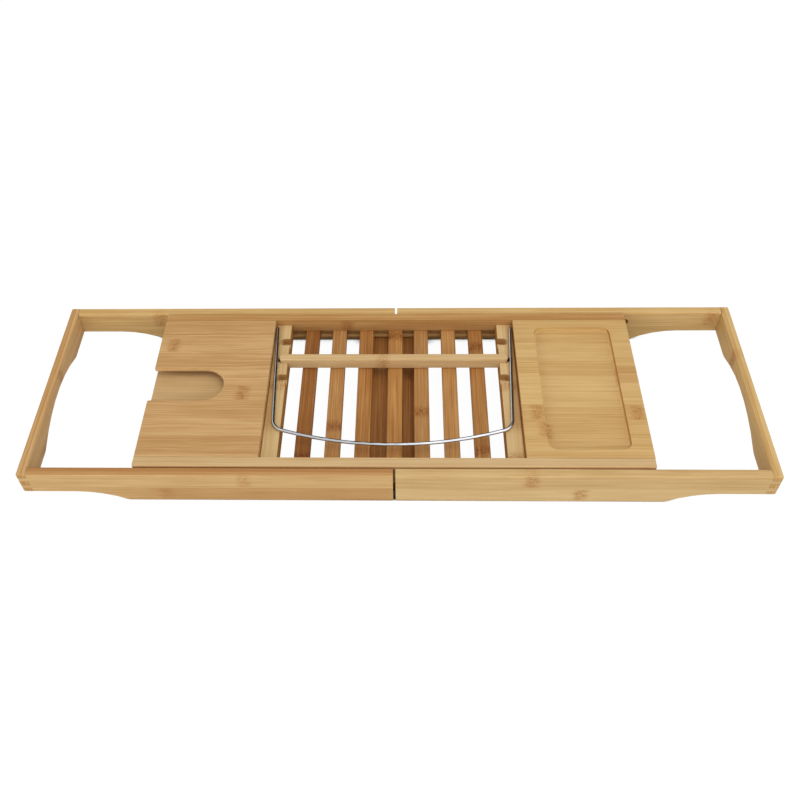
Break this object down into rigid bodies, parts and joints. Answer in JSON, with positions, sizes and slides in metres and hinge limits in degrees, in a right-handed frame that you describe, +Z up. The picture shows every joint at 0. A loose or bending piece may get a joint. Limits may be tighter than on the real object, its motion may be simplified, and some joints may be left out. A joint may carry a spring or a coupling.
{
  "type": "bath caddy",
  "caption": "Extendable bamboo bath caddy with sliding arms, a slatted tray, a hinged wire book rest, a slot for the stem of a glass and a shallow dish.",
  "frame": {"origin": "on the floor under the middle of the closed caddy", "axes": "+X along the caddy to the right, +Y from the front (the bather's side) to the back, +Z up"},
  "size_m": [0.7, 0.221, 0.041],
  "materials": {
    "arm_bamboo": "satin",
    "end_board_bamboo": "satin",
    "beam_bamboo": "satin",
    "board_bamboo": "satin",
    "shelf_bamboo": "satin",
    "slat_bamboo": "satin",
    "block_bamboo": "satin",
    "bar_bamboo": "satin",
    "tongue_bamboo": "satin",
    "chrome_wire": "polished",
    "screw_steel": "satin"
  },
  "bodies": {
    "tray": {"front_beam": "beam_bamboo", "back_beam": "beam_bamboo", "left_board": "board_bamboo", "right_board": "board_bamboo", "glass_shelf": "shelf_bamboo", "slat_1": "slat_bamboo", "slat_2": "slat_bamboo", "slat_3": "slat_bamboo", "slat_4": "slat_bamboo", "slat_5": "slat_bamboo", "slat_6": "slat_bamboo", "slat_7": "slat_bamboo", "centre_brace": "slat_bamboo", "left_rest_block": "block_bamboo", "right_rest_block": "block_bamboo", "left_front_tongue": "tongue_bamboo", "left_back_tongue": "tongue_bamboo", "right_front_tongue": "tongue_bamboo", "right_back_tongue": "tongue_bamboo", "tongue_screw_1": "screw_steel", "tongue_screw_2": "screw_steel", "tongue_screw_3": "screw_steel", "tongue_screw_4": "screw_steel", "tongue_screw_5": "screw_steel", "tongue_screw_6": "screw_steel", "tongue_screw_7": "screw_steel", "tongue_screw_8": "screw_steel", "brace_screw_1": "screw_steel", "brace_screw_2": "screw_steel", "brace_screw_3": "screw_steel", "brace_screw_4": "screw_steel"},
    "left_arm": {"left_arm_front_rail": "arm_bamboo", "left_arm_back_rail": "arm_bamboo", "left_arm_end_board": "end_board_bamboo"},
    "right_arm": {"right_arm_front_rail": "arm_bamboo", "right_arm_back_rail": "arm_bamboo", "right_arm_end_board": "end_board_bamboo"},
    "book_bar": {"book_bar": "bar_bamboo"},
    "wire_bow": {"wire_bow": "chrome_wire"}
  },
  "joints": [
    {"name": "left_arm_slide", "type": "slide", "parent": "tray", "child": "left_arm", "axis": [-1, 0, 0], "range_m": [0, 0.175]},
    {"name": "right_arm_slide", "type": "slide", "parent": "tray", "child": "right_arm", "axis": [1, 0, 0], "range_m": [0, 0.175]},
    {"name": "bow_hinge", "type": "hinge", "parent": "tray", "child": "wire_bow", "pos_m": [-0.00235, 0.0847, 0.036], "axis": [-1, 0, 0], "range_deg": [0, 122]},
    {"name": "book_bar_lift", "type": "slide", "parent": "tray", "child": "book_bar", "axis": [0, 0, 1], "range_m": [0, 0.03]}
  ]
}
